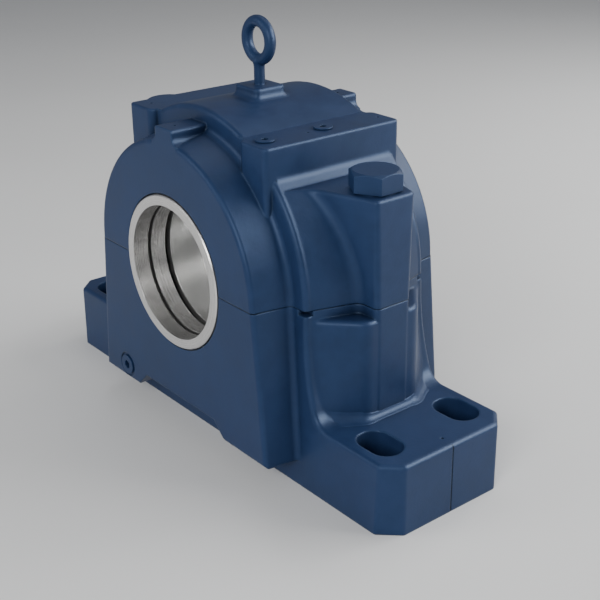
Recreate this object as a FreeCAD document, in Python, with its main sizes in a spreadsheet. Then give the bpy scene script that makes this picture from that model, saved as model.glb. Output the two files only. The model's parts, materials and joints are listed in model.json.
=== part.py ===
"""Split plummer block: a cast housing in two halves round a spherical roller bearing on an adapter sleeve.

Frame: Z up, Y along the shaft, X along the feet, origin on the floor under the middle of the housing.
"""
import FreeCAD, Part
import math
import os

import Sketcher
from FreeCAD import Placement, Rotation, Vector

# Driving dimensions in millimetres
DIMENSIONS = {
    "shaft_dia": 140.0,
    "centre_height": 188.0,
    "foot_length": 575.0,
    "foot_depth": 162.0,
    "foot_thickness": 74.0,
    "foot_corner_along": 19.0,
    "foot_corner_across": 20.0,
    "slot_spacing_x": 483.0,
    "slot_spacing_y": 101.0,
    "slot_width": 34.5,
    "slot_length": 50.0,
    "band_rad": 164.5,
    "band_width": 152.0,
    "barrel_rad": 136.5,
    "barrel_root_rad": 142.0,
    "barrel_length": 234.0,
    "barrel_floor": 28.0,
    "barrel_foot_half": 151.0,
    "recess_top": 46.5,
    "recess_half": 64.0,
    "web_lean": 18.4,
    "web_sweep_rad": 260.0,
    "web_flare_rad": 20.5,
    "column_end": 203.5,
    "column_half": 21.8,
    "column_seat_half": 23.5,
    "column_root": 118.0,
    "column_seat_root_half": 50.0,
    "band_swell": 15.0,
    "seat_height": 295.0,
    "ledge_height": 178.0,
    "shoulder_slope": 43.2,
    "skirt_slope": 57.0,
    "shoulder_soft": 16.0,
    "shoulder_half": 25.5,
    "bolt_reach": 175.0,
    "bolt_dia": 30.0,
    "bolt_flats": 46.0,
    "bolt_head": 18.7,
    "bolt_thread_depth": 48.0,
    "rail_top": 335.6,
    "rail_outer": 117.2,
    "rail_inner": 74.0,
    "rail_half_length": 83.5,
    "eye_pad_half": 18.5,
    "eye_pad_top": 363.0,
    "eye_height": 407.0,
    "eye_ring_rad": 20.7,
    "eye_wire_rad": 4.3,
    "eye_stem_dia": 11.0,
    "front_pad_half": 14.5,
    "front_pad_top": 338.0,
    "bearing_outer_dia": 290.0,
    "bearing_bore": 160.0,
    "bearing_width": 80.0,
    "seat_width": 110.0,
    "race_rad": 132.0,
    "roller_dia": 34.0,
    "roller_length": 30.0,
    "roller_tilt": 9.5,
    "rollers_per_row": 17.0,
    "cavity_rad": 120.0,
    "end_wall": 30.0,
    "seal_bore_dia": 164.0,
    "seal_dia": 161.0,
    "seal_rib_dia": 176.0,
    "seal_length": 38.5,
    "seal_proud": 1.4,
    "cord_dia": 4.6,
    "sleeve_length": 119.0,
    "sleeve_nut_end": 73.0,
    "nut_dia": 206.0,
    "nut_width": 26.0,
    "washer_thickness": 2.5,
    "cage_rad": 113.5,
    "cage_thickness": 4.0,
    "plug_dia": 19.0,
    "plug_thread_dia": 13.0,
    "plug_row": 93.5,
    "plug_front": -65.0,
    "plug_middle": 5.0,
    "drain_dia": 22.0,
    "drain_thread_dia": 16.0,
    "drain_across": 103.6,
    "drain_height": 45.0,
    "dowel_dia": 12.0,
    "dowel_reach": 147.0,
    "dowel_across": 65.0,
    "eye_thread_dia": 12.0,
    "pry_depth": 5.5,
}

RUNNING_GAP = 0.3

# Rounding of the castings
BAND_EDGE = 5
COLUMN_CORNER = 5.5
COLUMN_COVE = 12

doc = FreeCAD.newDocument("plummer_block")


class Size:
    """A length together with the sheet formula that it comes from."""

    def __init__(self, value, text):
        self.value = float(value)
        self.text = text

    def __add__(self, other):
        other = size(other)
        return Size(self.value + other.value, f"({self.text} + {other.text})")

    def __sub__(self, other):
        other = size(other)
        return Size(self.value - other.value, f"({self.text} - {other.text})")

    def __mul__(self, factor):
        factor = size(factor)
        return Size(self.value * factor.value, f"({self.text} * {factor.text})")

    def __truediv__(self, divisor):
        divisor = size(divisor)
        return Size(self.value / divisor.value, f"({self.text} / {divisor.text})")

    def __neg__(self):
        return Size(-self.value, f"(0 - {self.text})")

    __radd__ = __add__
    __rmul__ = __mul__


def size(value):
    """A plain number becomes a size."""
    return value if isinstance(value, Size) else Size(value, f"{value:.6f}")


def leg(longest, other):
    """The third side of a right triangle, from its longest side and one leg."""
    longest = size(longest)
    other = size(other)
    length = math.sqrt(longest.value ** 2 - other.value ** 2)
    return Size(length, f"sqrt({longest.text} ^ 2 - {other.text} ^ 2)")


def make_sheet():
    sheet = doc.addObject("Spreadsheet::Sheet", "Dims")
    for row, (name, value) in enumerate(DIMENSIONS.items(), start=1):
        sheet.set(f"A{row}", name)
        sheet.set(f"B{row}", str(value))
        sheet.setAlias(f"B{row}", name)
    doc.recompute()
    return sheet


def dim(name):
    return Size(DIMENSIONS[name], f"Dims.{name}")


def bind(obj, prop, length):
    obj.setExpression(prop, size(length).text)


# Sketches


def origin_plane(body, role):
    return next(feature for feature in body.Origin.OriginFeatures if feature.Role == role)


def new_body(name):
    body = doc.addObject("PartDesign::Body", name)
    body.Label = name
    return body


def new_sketch(body, role, name, offset=(0, 0, 0)):
    """An empty sketch on one of the body's own planes, moved by an offset in the plane's own axes."""
    sketch = body.newObject("Sketcher::SketchObject", name)
    sketch.AttachmentSupport = [(origin_plane(body, role), "")]
    sketch.MapMode = "FlatFace"
    for axis, amount in zip("xyz", offset):
        if isinstance(amount, Size) or amount:
            bind(sketch, f"AttachmentOffset.Base.{axis}", amount)
    return sketch


def pin(sketch, geo, end, point):
    """Hold one end of a line or arc at a place that follows the sheet."""
    for kind, coordinate in zip(("DistanceX", "DistanceY"), point):
        coordinate = size(coordinate)
        index = sketch.addConstraint(Sketcher.Constraint(kind, -1, 1, geo, end, coordinate.value))
        sketch.setExpression(f"Constraints[{index}]", coordinate.text)


def numbers(point):
    return Vector(size(point[0]).value, size(point[1]).value, 0)


def arc_between(start, end, radius, left):
    """The short arc from start to end, its centre on the left or the right of the chord."""
    chord = end - start
    side = Vector(-chord.y, chord.x, 0).normalize()
    sagitta_leg = math.sqrt(max(radius ** 2 - (chord.Length / 2) ** 2, 0.0))
    centre = start + chord * 0.5 + side * (sagitta_leg if left else -sagitta_leg)
    first, last = (start, end) if left else (end, start)
    angles = [math.atan2(p.y - centre.y, p.x - centre.x) for p in (first, last)]
    circle = Part.Circle(centre, Vector(0, 0, 1), radius)
    return Part.ArcOfCircle(circle, angles[0], angles[1] + (2 * math.pi if angles[1] < angles[0] else 0))


def add_outline(sketch, points):
    """A closed outline. A point is (x, y), or (x, y, radius, side) where an arc leads to it."""
    ends = []
    for index, point in enumerate(points):
        before = numbers(points[index - 1])
        here = numbers(point)
        if len(point) == 4:
            left = point[3] == "left"
            geo = sketch.addGeometry(arc_between(before, here, size(point[2]).value, left), False)
            ends.append((geo, 1, 2) if left else (geo, 2, 1))
        else:
            geo = sketch.addGeometry(Part.LineSegment(before, here), False)
            ends.append((geo, 1, 2))
    for index, point in enumerate(points):
        geo, first, last = ends[index]
        previous = ends[index - 1]
        sketch.addConstraint(Sketcher.Constraint("Coincident", previous[0], previous[2], geo, first))
        pin(sketch, geo, last, point)
        if len(point) == 4:
            hold_arc(sketch, geo, points[index - 1], point)


def hold_arc(sketch, geo, before, point):
    """Hold an arc by its radius, or a half circle by its centre, level with the end that leads to it."""
    radius = size(point[2])
    chord = numbers(point) - numbers(before)
    if chord.Length < radius.value * 2 - 0.001:
        held = sketch.addConstraint(Sketcher.Constraint("Radius", geo, radius.value))
        sketch.setExpression(f"Constraints[{held}]", radius.text)
        return
    kind, level = ("DistanceX", point[0]) if abs(chord.x) < 0.001 else ("DistanceY", point[1])
    held = sketch.addConstraint(Sketcher.Constraint(kind, -1, 1, geo, 3, size(level).value))
    sketch.setExpression(f"Constraints[{held}]", size(level).text)


def add_circle(sketch, centre, radius):
    geo = sketch.addGeometry(Part.Circle(numbers(centre), Vector(0, 0, 1), size(radius).value), False)
    pin(sketch, geo, 3, centre)
    held = sketch.addConstraint(Sketcher.Constraint("Radius", geo, size(radius).value))
    sketch.setExpression(f"Constraints[{held}]", size(radius).text)


def flipped(points):
    """A closed outline mirrored across the vertical axis. Arcs keep their side."""
    mirrored = []
    for index in reversed(range(len(points))):
        x, y = points[index][:2]
        arc = points[(index + 1) % len(points)][2:]
        mirrored.append((-size(x), y, *arc))
    return mirrored


def both_sides(half):
    """A half outline at positive x, carried on by its mirror image."""
    return list(half) + flipped(half)


def rectangle(x0, x1, y0, y1):
    return [(x0, y0), (x1, y0), (x1, y1), (x0, y1)]


# Features


def finish(body, feature, name):
    feature.Label = f"{body.Label}_{name}"
    doc.recompute()
    body.Tip = feature
    if "Invalid" in feature.State or feature.Shape.isNull():
        raise ValueError(f"{feature.Label}: {feature.getStatusString()}")
    return feature


def pad(body, sketch, length, symmetric=False, backwards=False, taper=0):
    feature = body.newObject("PartDesign::Pad", f"{sketch.Name}_pad")
    feature.Profile = sketch
    feature.SideType = "Symmetric" if symmetric else "One side"
    feature.Reversed = backwards
    bind(feature, "Length", length)
    if taper:
        feature.TaperAngle = taper
    return finish(body, feature, f"{sketch.Name}_pad")


def pocket(body, sketch, length, symmetric=False, backwards=False):
    """Cut a pocket and make sure that it took something away."""
    before = body.Shape.Volume
    feature = body.newObject("PartDesign::Pocket", f"{sketch.Name}_pocket")
    feature.Profile = sketch
    feature.SideType = "Symmetric" if symmetric else "One side"
    feature.Reversed = backwards
    bind(feature, "Length", length)
    finish(body, feature, f"{sketch.Name}_pocket")
    if body.Shape.Volume > before - 0.5:
        raise ValueError(f"{feature.Label} cuts nothing")
    return feature


def revolve(body, sketch, kind="PartDesign::Revolution", axis="H_Axis"):
    before = body.Shape.Volume if kind.endswith("Groove") else 0
    feature = body.newObject(kind, f"{sketch.Name}_turn")
    feature.Profile = sketch
    feature.ReferenceAxis = (sketch, [axis])
    feature.Angle = 360
    finish(body, feature, f"{sketch.Name}_turn")
    if kind.endswith("Groove") and body.Shape.Volume > before - 0.5:
        raise ValueError(f"{feature.Label} cuts nothing")
    return feature


def groove(body, sketch, axis="H_Axis"):
    return revolve(body, sketch, "PartDesign::Groove", axis)


def repeat_round(body, feature, sketch, count, axis="H_Axis"):
    """The same feature repeated evenly round an axis of a sketch."""
    pattern = body.newObject("PartDesign::PolarPattern", f"{feature.Name}_ring")
    pattern.Originals = [feature]
    pattern.Axis = (sketch, [axis])
    pattern.Angle = 360
    bind(pattern, "Occurrences", count)
    return finish(body, pattern, f"{feature.Name}_ring")


def fillet(body, radius, wanted, name):
    """Round the edges of the body that the test picks by their shape and place."""
    tip = body.Tip
    edges = [f"Edge{n}" for n, edge in enumerate(tip.Shape.Edges, start=1) if wanted(edge)]
    if not edges:
        raise ValueError(f"{body.Label}: no edge for {name}")
    feature = body.newObject("PartDesign::Fillet", name)
    feature.Base = (tip, edges)
    bind(feature, "Radius", radius)
    return finish(body, feature, name)


def middle(edge):
    return edge.valueAt((edge.FirstParameter + edge.LastParameter) / 2)


def near(value, target, slack=0.05):
    return abs(value - size(target).value) < slack


def turned_body(name, outline):
    """A body turned about the shaft axis from an outline of (y, radius) points."""
    body = new_body(name)
    sketch = new_sketch(body, "YZ_Plane", f"{name}_profile", (0, dim("centre_height"), 0))
    add_outline(sketch, outline)
    revolve(body, sketch)
    return body


# Housing


def shell_outline():
    """Radius against y for the cast shell: the wide band with a narrower barrel at each end."""
    edge = BAND_EDGE
    root = 7
    half_band = dim("band_width") / 2
    half = dim("barrel_length") / 2
    band = dim("band_rad")
    barrel = dim("barrel_rad")
    barrel_root = dim("barrel_root_rad")
    return both_sides([
        (half, 0),
        (half, barrel - edge),
        (half - edge, barrel, edge, "left"),
        (half_band + root, barrel_root),
        (half_band, barrel_root + root, root, "right"),
        (half_band, band - edge),
        (half_band - edge, band, edge, "left"),
    ])


def loft(body, first, *others, name, ruled=True):
    """A solid through sketches that lie one behind the other, straight from each to the next if ruled."""
    feature = body.newObject("PartDesign::AdditiveLoft", name)
    feature.Profile = first
    feature.Sections = list(others)
    feature.Ruled = ruled
    return finish(body, feature, name)


def cavity_outline():
    """Radius against y for the inside: seal bores, rib grooves, grease room and bearing seat."""
    half = dim("barrel_length") / 2
    wall = half - dim("end_wall")
    bore = dim("seal_bore_dia") / 2
    rib = dim("seal_rib_dia") / 2 + 2.5
    seat = dim("bearing_outer_dia") / 2
    half_seat = dim("seat_width") / 2
    groove_out = half - 9
    groove_in = half - 18
    return both_sides([
        (half + 2, 0),
        (half + 2, bore),
        (groove_out, bore),
        (groove_out, rib),
        (groove_in, rib),
        (groove_in, bore),
        (wall, bore),
        (wall, dim("cavity_rad")),
        (half_seat, dim("cavity_rad")),
        (half_seat, seat),
    ])


def parting_outline():
    """Plan of the housing at its parting plane: swollen sides with a cove into each bolt column."""
    wide = dim("band_width") / 2 - BAND_EDGE
    half = dim("column_half")
    band = dim("band_rad") - 0.5
    end = dim("column_end")
    turn = math.atan2(wide.value - half.value, DIMENSIONS["band_swell"])
    reach = COLUMN_COVE * math.tan(turn / 2)
    crease = band + dim("band_swell")
    return both_sides([
        (band, -wide),
        (crease - reach * math.cos(turn), -half - reach * math.sin(turn)),
        (crease + reach, -half, COLUMN_COVE, "right"),
        (end - COLUMN_CORNER, -half),
        (end, -half + COLUMN_CORNER, COLUMN_CORNER, "left"),
        (end, half - COLUMN_CORNER),
        (end - COLUMN_CORNER, half, COLUMN_CORNER, "left"),
        (crease + reach, half),
        (crease - reach * math.cos(turn), half + reach * math.sin(turn), COLUMN_COVE, "right"),
        (band, wide),
    ])


def column_outline(end_half, root_half):
    """Plan of the right bolt column, which widens towards the band."""
    end = dim("column_end")
    root = dim("column_root")
    return [(root, -root_half), (end, -end_half), (end, end_half), (root, root_half)]


def cove_foot(wall, round_rad, rad):
    """Where a hollow of a given radius between an upright wall and a round top leaves each of them."""
    from_axis = leg(round_rad + rad, wall + rad)
    share = round_rad / (round_rad + rad)
    centre = dim("centre_height")
    return (wall + rad) * share, centre + from_axis * share, centre + from_axis


def rail_cove_outline():
    """The filler under the outer wall of a rail, hollowed where the wall runs into the band."""
    rad = 10
    outer = dim("rail_outer")
    foot_x, foot_z, wall_z = cove_foot(outer, dim("band_rad"), rad)
    inside = 10
    return [
        (outer - inside, foot_z - inside),
        (foot_x, foot_z - inside),
        (foot_x, foot_z),
        (outer, wall_z, rad, "right"),
        (outer - inside, wall_z),
    ]


def front_pad_outline():
    """The small raised pad over each seal, its sides hollowed where they run into the barrel."""
    rad = 8
    edge = 3
    half = dim("front_pad_half")
    top = dim("front_pad_top")
    foot_x, foot_z, wall_z = cove_foot(half, dim("barrel_rad"), rad)
    return both_sides([
        (foot_x, foot_z - 15),
        (foot_x, foot_z),
        (half, wall_z, rad, "right"),
        (half, top - edge),
        (half - edge, top, edge, "left"),
    ])


def swell_outline():
    """Radius against y for the band's sides, which swell towards the bolt columns."""
    wide = dim("band_width") / 2 - BAND_EDGE
    narrow = dim("column_half")
    band = dim("band_rad") - 0.5
    return both_sides([(wide, 100), (wide, band), (narrow, band + dim("band_swell"))])


def add_swell(body, name, bottom, top):
    """The swelling of the band between two heights."""
    sketch = new_sketch(body, "YZ_Plane", f"{name}_swell", (0, dim("centre_height"), 0))
    add_outline(sketch, swell_outline())
    revolve(body, sketch)
    cut = new_sketch(body, "XZ_Plane", f"{name}_swell_ends")
    add_outline(cut, rectangle(-200, 200, top, top + 200))
    add_outline(cut, rectangle(-200, 200, bottom - 300, bottom))
    pocket(body, cut, dim("band_width") * 2, symmetric=True)


def add_both_columns(body, name):
    """Bolt columns on both sides, from the parting plane up to the seats of the bolt heads."""
    lower = column_outline(dim("column_half"), dim("column_half"))
    upper = column_outline(dim("column_seat_half"), dim("column_seat_root_half"))
    for side in ("right", "left"):
        sketches = []
        for height, outline in ((dim("centre_height"), lower), (dim("seat_height"), upper)):
            sketch = new_sketch(body, "XY_Plane", f"{name}_{side}_{len(sketches)}", (0, 0, height))
            add_outline(sketch, outline if side == "right" else flipped(outline))
            sketches.append(sketch)
        loft(body, *sketches, name=f"{name}_{side}")


def cut_cavity(body, name):
    sketch = new_sketch(body, "YZ_Plane", f"{name}_cavity", (0, dim("centre_height"), 0))
    add_outline(sketch, cavity_outline())
    groove(body, sketch)


def ear_outline():
    """Plan of a rail, which reaches a little past the band at each end with soft corners."""
    inner = dim("rail_inner")
    outer = dim("rail_outer")
    end = dim("rail_half_length")
    soft = 9.5
    sharp = 5
    return [
        (inner + soft, -end, soft, "left"),
        (outer - sharp, -end),
        (outer, -end + sharp, sharp, "left"),
        (outer, end - sharp),
        (outer - sharp, end, sharp, "left"),
        (inner + soft, end),
        (inner, end - soft, soft, "left"),
        (inner, -end + soft),
    ]


def rounded_square(half, rad):
    return [
        (half - rad, -half),
        (half, -half + rad, rad, "left"),
        (half, half - rad),
        (half - rad, half, rad, "left"),
        (-half + rad, half),
        (-half, half - rad, rad, "left"),
        (-half, -half + rad),
        (-half + rad, -half, rad, "left"),
    ]


def housing_cap():
    body = new_body("housing_cap")
    centre = dim("centre_height")
    add_swell(body, "cap", centre, dim("seat_height"))
    sketch = new_sketch(body, "YZ_Plane", "cap_shell", (0, centre, 0))
    add_outline(sketch, shell_outline())
    revolve(body, sketch)
    add_both_columns(body, "cap_column")
    below = new_sketch(body, "XY_Plane", "cap_parting", (0, 0, centre))
    add_outline(below, rectangle(-300, 300, -200, 200))
    pocket(body, below, centre)
    round_columns(body)

    low = centre + 52
    top = dim("rail_top")
    outer = dim("rail_outer")
    rail = new_sketch(body, "XZ_Plane", "cap_rails")
    rail_box = rectangle(dim("rail_inner") - 14, outer, low, top)
    add_outline(rail, rail_box)
    add_outline(rail, flipped(rail_box))
    pad(body, rail, dim("band_width"), symmetric=True)
    ears = new_sketch(body, "XY_Plane", "cap_ears", (0, 0, low))
    add_outline(ears, ear_outline())
    add_outline(ears, flipped(ear_outline()))
    pad(body, ears, top - low)
    cove = new_sketch(body, "XZ_Plane", "cap_rail_coves")
    add_outline(cove, rail_cove_outline())
    add_outline(cove, flipped(rail_cove_outline()))
    pad(body, cove, dim("band_width") - 10, symmetric=True)

    eye_pad = new_sketch(body, "XY_Plane", "cap_eye_pad", (0, 0, dim("eye_pad_top")))
    add_outline(eye_pad, rounded_square(dim("eye_pad_half"), 5))
    pad(body, eye_pad, 40, backwards=True, taper=5)
    round_cap(body)
    front_pad = new_sketch(body, "XZ_Plane", "cap_front_pad")
    add_outline(front_pad, front_pad_outline())
    pad(body, front_pad, dim("barrel_length"), symmetric=True)
    cut_cavity(body, "cap")
    drill_cap(body)
    return body


def edge_is_upright(edge):
    ends = [vertex.Point for vertex in edge.Vertexes]
    return abs(ends[0].z - ends[-1].z) > 5


def round_columns(body):
    """Soft corners at the end of each column, and a hollow where it runs into the band."""
    end = dim("column_end")

    def corner(edge):
        return near(abs(middle(edge).x), end) and edge_is_upright(edge)

    def crease(edge):
        at = middle(edge)
        return edge_is_upright(edge) and 140 < abs(at.x) < 185 and 20 < abs(at.y) < 60

    fillet(body, COLUMN_CORNER, corner, "cap_column_corners")
    fillet(body, COLUMN_COVE, crease, "cap_column_coves")


def round_cap(body):
    """Cast edges: rounded rail ends and rims, and coves where walls run into the band."""
    outer = dim("rail_outer")
    top = dim("rail_top")
    seat = dim("seat_height")

    def rail_rim(edge):
        at = middle(edge)
        return near(at.z, top) and (near(abs(at.x), outer) or near(abs(at.y), dim("rail_half_length")))

    def seat_rim(edge):
        at = middle(edge)
        return near(at.z, seat) and abs(at.x) > 133

    def eye_pad_top(edge):
        at = middle(edge)
        return abs(at.x) < 24 and abs(at.y) < 24 and near(at.z, dim("eye_pad_top"))

    def eye_pad_foot(edge):
        at = middle(edge)
        return abs(at.x) < 30 and abs(at.y) < 30 and 340 < at.z < 356 and not edge_is_upright(edge)

    fillet(body, 2, rail_rim, "cap_rail_rim")
    fillet(body, 3, seat_rim, "cap_seat_rim")
    fillet(body, 2.5, eye_pad_top, "cap_eye_pad_top")
    fillet(body, 7, eye_pad_foot, "cap_eye_pad_foot")


def drill_holes(body, name, places, radius, height, depth, backwards=False):
    """Round holes at (x, y) places, straight down from a height, or up from it."""
    sketch = new_sketch(body, "XY_Plane", name, (0, 0, height))
    for centre in places:
        add_circle(sketch, centre, radius)
    pocket(body, sketch, depth, backwards=backwards)


def dowel_places():
    reach = dim("dowel_reach")
    across = dim("dowel_across")
    return [(reach, across), (-reach, -across)]


def bolt_places():
    return [(dim("bolt_reach"), 0), (-dim("bolt_reach"), 0)]


def plug_places():
    return [(dim("plug_row"), dim("plug_front")), (dim("plug_row"), dim("plug_middle"))]


def drill_cap(body):
    """Bolt holes, dowel holes, the eye bolt's thread, the plugged grease holes and centre marks."""
    seat = dim("seat_height")
    centre = dim("centre_height")
    rail = dim("rail_top")
    front = dim("front_pad_top")
    row = dim("plug_row")
    mark = 1.3
    drill_holes(body, "cap_bolt_holes", bolt_places(), dim("bolt_dia") / 2 + 1.5, seat, seat - centre + 1)
    drill_holes(body, "cap_dowel_holes", dowel_places(), dim("dowel_dia") / 2, centre, 14, backwards=True)
    drill_holes(body, "cap_eye_hole", [(0, 0)], dim("eye_thread_dia") / 2, dim("eye_pad_top"), 20)
    drill_holes(body, "cap_plug_holes", plug_places(), dim("plug_thread_dia") / 2, rail, 16)
    drill_holes(body, "cap_grease_passages", plug_places(), 3, rail, 80)
    drill_holes(body, "cap_rail_marks", [(row + 3, -16), (row + 4, 73), (-row - 5, -68)], mark, rail, 1)
    drill_holes(body, "cap_pad_marks", [(0, -103), (0, 103)], mark, front, 1)


def foot_and_web_outline():
    """Front outline of the feet and the wall above, which sweeps outwards and flares into each foot."""
    half = dim("foot_length") / 2
    rise = dim("foot_thickness")
    sweep = dim("web_sweep_rad")
    flare = dim("web_flare_rad")
    wall = dim("band_rad") + 0.3
    lean = math.radians(DIMENSIONS["web_lean"])
    low_x = wall + sweep * (1 - math.cos(lean))
    low_z = rise + flare * (1 - math.sin(lean))
    return both_sides([
        (half, 0),
        (half, rise),
        (low_x + flare * math.cos(lean), rise),
        (low_x, low_z, flare, "right"),
        (wall, low_z + sweep * math.sin(lean), sweep, "right"),
        (dim("band_rad"), dim("centre_height")),
    ])


def shoulder_outline(name, inset=0):
    """Plan of the right shoulder: a narrow end and sides that slant back to the rims of the wall."""
    slope = math.radians(DIMENSIONS[name])
    soft = dim("shoulder_soft")
    half = dim("shoulder_half")
    end = dim("column_end") - 0.6 - inset
    slant_x = end - soft * (1 - math.sin(slope))
    slant_y = half + soft * math.cos(slope)
    rim = 71
    root = slant_x - (-slant_y + rim) * (1 / math.tan(slope))
    inside = dim("band_rad") - 15
    return [
        (inside, -rim),
        (root, -rim),
        (slant_x, -slant_y),
        (end, -half, soft, "left"),
        (end, half),
        (slant_x, slant_y, soft, "left"),
        (root, rim),
        (inside, rim),
    ]


def add_shoulders(body):
    """The shoulders under the ledge, each with a skirt that turns outwards where the wall flares."""
    rise = dim("foot_thickness")
    ledge = dim("ledge_height")
    block = new_sketch(body, "XY_Plane", "base_shoulders", (0, 0, ledge))
    add_outline(block, shoulder_outline("shoulder_slope"))
    add_outline(block, flipped(shoulder_outline("shoulder_slope")))
    pad(body, block, ledge - rise + 10, backwards=True)
    for side in ("right", "left"):
        ends = []
        for height, outline in (
            (rise - 2, shoulder_outline("skirt_slope")),
            (ledge - 28, shoulder_outline("shoulder_slope", 0.6)),
        ):
            sketch = new_sketch(body, "XY_Plane", f"base_skirt_{side}_{len(ends)}", (0, 0, height))
            add_outline(sketch, outline if side == "right" else flipped(outline))
            ends.append(sketch)
        loft(body, *ends, name=f"base_skirt_{side}")


def housing_base():
    body = new_body("housing_base")
    centre = dim("centre_height")
    foot_half = dim("foot_depth") / 2
    rise = dim("foot_thickness")
    ledge = dim("ledge_height")
    sketch = new_sketch(body, "XZ_Plane", "base_front")
    add_outline(sketch, foot_and_web_outline())
    pad(body, sketch, dim("foot_depth"), symmetric=True)

    draft = new_sketch(body, "YZ_Plane", "base_draft")
    wedge = [(foot_half, 0), (foot_half + 9, 0), (foot_half + 9, centre), (dim("band_width") / 2, centre)]
    add_outline(draft, wedge)
    add_outline(draft, flipped(wedge))
    pocket(body, draft, dim("foot_length"), symmetric=True)

    corners = new_sketch(body, "XY_Plane", "base_foot_corners")
    end = dim("foot_length") / 2
    along = dim("foot_corner_along")
    across = dim("foot_corner_across")
    for side in (1, -1):
        outside = (end + 5, (foot_half + 5) * side)
        corner = [(end - along, foot_half * side), (end, (foot_half - across) * side), outside]
        add_outline(corners, corner)
        add_outline(corners, flipped(corner))
    pocket(body, corners, rise * 4, symmetric=True)
    round_base_front(body)

    add_shoulders(body)
    round_shoulders(body)
    columns = new_sketch(body, "XY_Plane", "base_columns", (0, 0, centre))
    add_outline(columns, parting_outline())
    pad(body, columns, centre - rise - 1, backwards=True)
    add_base_barrels(body)
    cut_cavity(body, "base")
    cut_base_bottom(body)
    round_barrels(body)
    drill_base(body)
    return body


def round_base_front(body):
    """One soft edge along the top of each foot and up the wall above it."""
    rise = dim("foot_thickness")
    centre = dim("centre_height").value
    flare_end = 200

    def foot_corner(edge):
        return abs(middle(edge).x) > flare_end + 10 and edge_is_upright(edge)

    def rim(edge):
        at = middle(edge)
        foot_top = near(at.z, rise) and (abs(at.y) > 40 or abs(at.x) > flare_end + 10)
        wall = rise.value + 0.5 < at.z < centre - 1 and abs(at.y) > 60
        return foot_top or wall

    fillet(body, 5, foot_corner, "base_foot_edges")
    fillet(body, 4.5, rim, "base_rim")


def round_shoulders(body):
    """A soft rim round the ledge, and a hollow where each shoulder runs into wall and foot."""
    ledge = dim("ledge_height").value
    root = dim("band_rad").value

    def ledge_rim(edge):
        at = middle(edge)
        return near(at.z, ledge) and abs(at.x) > root + 2 and abs(at.y) < 69

    def crease(edge):
        at = middle(edge)
        sideways = root < abs(at.x) < 204.5 and 60 < abs(at.y) < 70
        return sideways and 80 < at.z < ledge - 0.5 and edge_is_upright(edge)

    fillet(body, 5, ledge_rim, "base_ledge_rim")
    fillet(body, 9, crease, "base_shoulder_coves")


def add_base_barrels(body):
    """The overhang below each cap barrel, with drafted sides, stopping short of the floor."""
    centre = dim("centre_height")
    floor = dim("barrel_floor")
    half = dim("barrel_length") / 2
    root = dim("band_width") / 2 - 1
    low = dim("barrel_foot_half")
    wide = dim("barrel_root_rad")
    widen = wide - dim("barrel_rad")
    for side in (-1, 1):
        face = new_sketch(body, "XZ_Plane", f"base_barrel_face_{side + 1}", (0, 0, half * side))
        add_outline(face, both_sides([(low, floor), (dim("barrel_rad"), centre)]))
        base = new_sketch(body, "XZ_Plane", f"base_barrel_root_{side + 1}", (0, 0, root * side))
        add_outline(base, both_sides([(low + widen, floor), (wide, centre)]))
        loft(body, face, base, name=f"base_barrel_{side + 1}")


def round_barrels(body):
    """Soft edges round each overhang, and a hollow on each side where it leaves the wall."""
    half = dim("barrel_length") / 2
    centre = dim("centre_height").value
    floor = dim("barrel_floor")
    wall = dim("band_width").value / 2

    def rim(edge):
        at = middle(edge)
        side = 120 < abs(at.x) and at.z < centre - 1
        return near(abs(at.y), half) and (side or near(at.z, floor))

    def crease(edge):
        at = middle(edge)
        return wall < abs(at.y) < wall + 4.5 and 130 < abs(at.x) < 163 and edge_is_upright(edge)

    fillet(body, 5, rim, "base_barrel_rims")
    fillet(body, 6, crease, "base_barrel_coves")


def cut_base_bottom(body):
    """The shallow arch under each overhang, and the cored pockets on the underside."""
    half = dim("barrel_length") / 2
    foot_half = dim("foot_depth") / 2
    floor = dim("barrel_floor")
    arch_top = dim("recess_top")
    narrow = dim("recess_half")
    for side in (-1, 1):
        arch = new_sketch(body, "XZ_Plane", f"base_arch_{side + 1}", (0, 0, half * side))
        add_outline(arch, both_sides([(narrow + 22, floor - 2), (narrow, arch_top)]))
        pocket(body, arch, half - foot_half, backwards=side < 0)
    cores = new_sketch(body, "XY_Plane", "base_cores")
    for x0, x1 in ((-118, -7), (7, 118)):
        add_outline(cores, rectangle(x0, x1, -foot_half + 22, foot_half - 22))
    pocket(body, cores, 22, backwards=True)
    sump = both_sides([(74, 61), (88, 40), (124, 40), (127, 150)])
    wall = half - dim("end_wall")
    seat = dim("seat_width") / 2
    for side in (-1, 1):
        sketch = new_sketch(body, "XZ_Plane", f"base_sump_{side + 1}", (0, 0, wall * side))
        add_outline(sketch, sump)
        pocket(body, sketch, wall - seat, backwards=side < 0)
    ends = new_sketch(body, "XY_Plane", "base_foot_cores")
    plan = rectangle(136, 198, -foot_half + 20, foot_half - 20)
    add_outline(ends, plan)
    add_outline(ends, flipped(plan))
    pocket(body, ends, 52, backwards=True)


def slot_outline(x, y):
    """A slot for a holding-down bolt, its length along the foot."""
    rad = dim("slot_width") / 2
    run = dim("slot_length") / 2 - rad
    return [
        (x - run, y - rad, rad, "left"),
        (x + run, y - rad),
        (x + run, y + rad, rad, "left"),
        (x - run, y + rad),
    ]


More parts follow.
